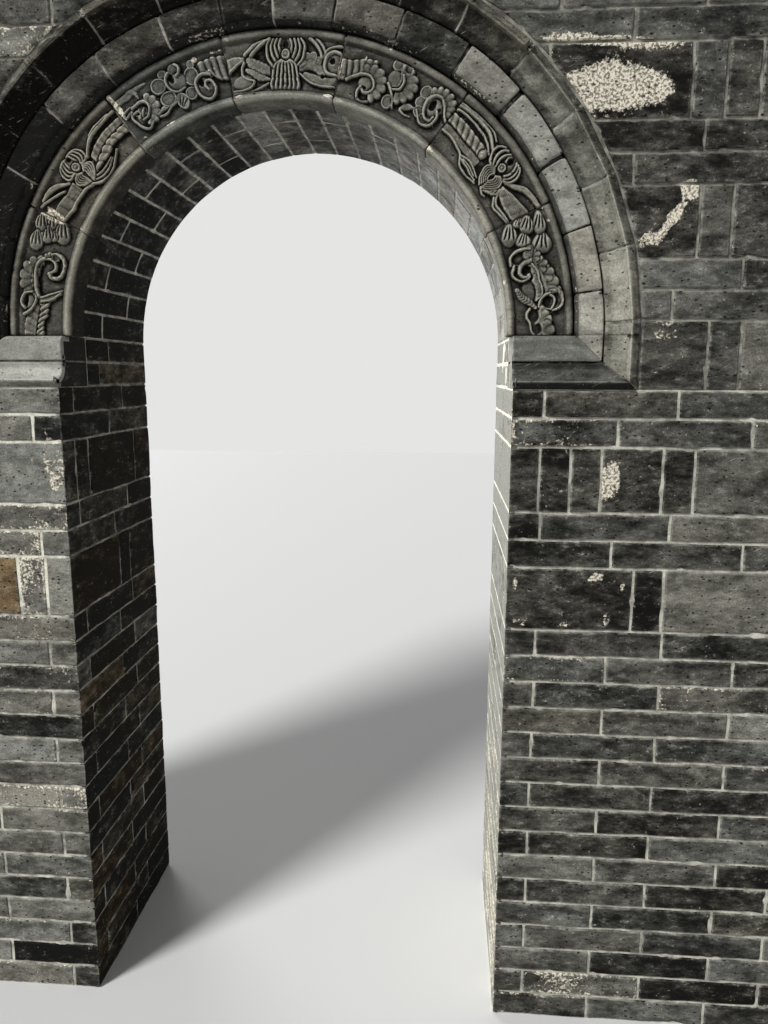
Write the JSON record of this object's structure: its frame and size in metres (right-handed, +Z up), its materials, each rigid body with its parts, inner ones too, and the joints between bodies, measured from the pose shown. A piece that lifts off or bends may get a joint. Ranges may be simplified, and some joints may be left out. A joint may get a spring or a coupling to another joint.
{
  "type": "round-headed carved brick gateway in a short courtyard wall",
  "caption": "Round-headed brick gateway in a short wall, with a carved band and moulded brick rings around the arch, imposts, stepped cornice and tiled coping.",
  "frame": {"origin": "on the ground, at the middle of the doorway and of the wall's thickness", "axes": "+X along the wall to the right as seen from the carved side, +Y through the doorway away from the carved side, +Z up"},
  "size_m": [2.74, 0.8674, 3.478],
  "materials": {
    "wall_brick": "matte",
    "arch_brick": "matte",
    "carved_brick": "matte",
    "moulded_brick": "matte",
    "impost_brick": "matte",
    "cornice_brick": "matte",
    "mortar": "matte",
    "roof_tile": "matte",
    "ridge_brick": "matte"
  },
  "bodies": {
    "root": {"left_pier": "wall_brick", "right_pier": "wall_brick", "left_upper_wall": "wall_brick", "right_upper_wall": "wall_brick", "wall_over_arch": "wall_brick", "barrel_vault": "arch_brick", "carved_block_1": "carved_brick", "carved_block_2": "carved_brick", "carved_block_3": "carved_brick", "carved_block_4": "carved_brick", "carved_block_5": "carved_brick", "carved_block_6": "carved_brick", "carved_block_7": "carved_brick", "inner_ring_left": "moulded_brick", "inner_ring_key": "moulded_brick", "inner_ring_right": "moulded_brick", "outer_ring_left": "moulded_brick", "outer_ring_key": "moulded_brick", "outer_ring_right": "moulded_brick", "upper_impost_left": "impost_brick", "upper_impost_right": "impost_brick", "lower_impost_left": "impost_brick", "lower_impost_right": "impost_brick", "cornice_lower": "cornice_brick", "cornice_middle": "cornice_brick", "cornice_upper": "cornice_brick", "coping_core": "mortar", "front_tiles": "roof_tile", "back_tiles": "roof_tile", "ridge_band": "ridge_brick", "ridge_cap": "ridge_brick"}
  },
  "joints": []
}
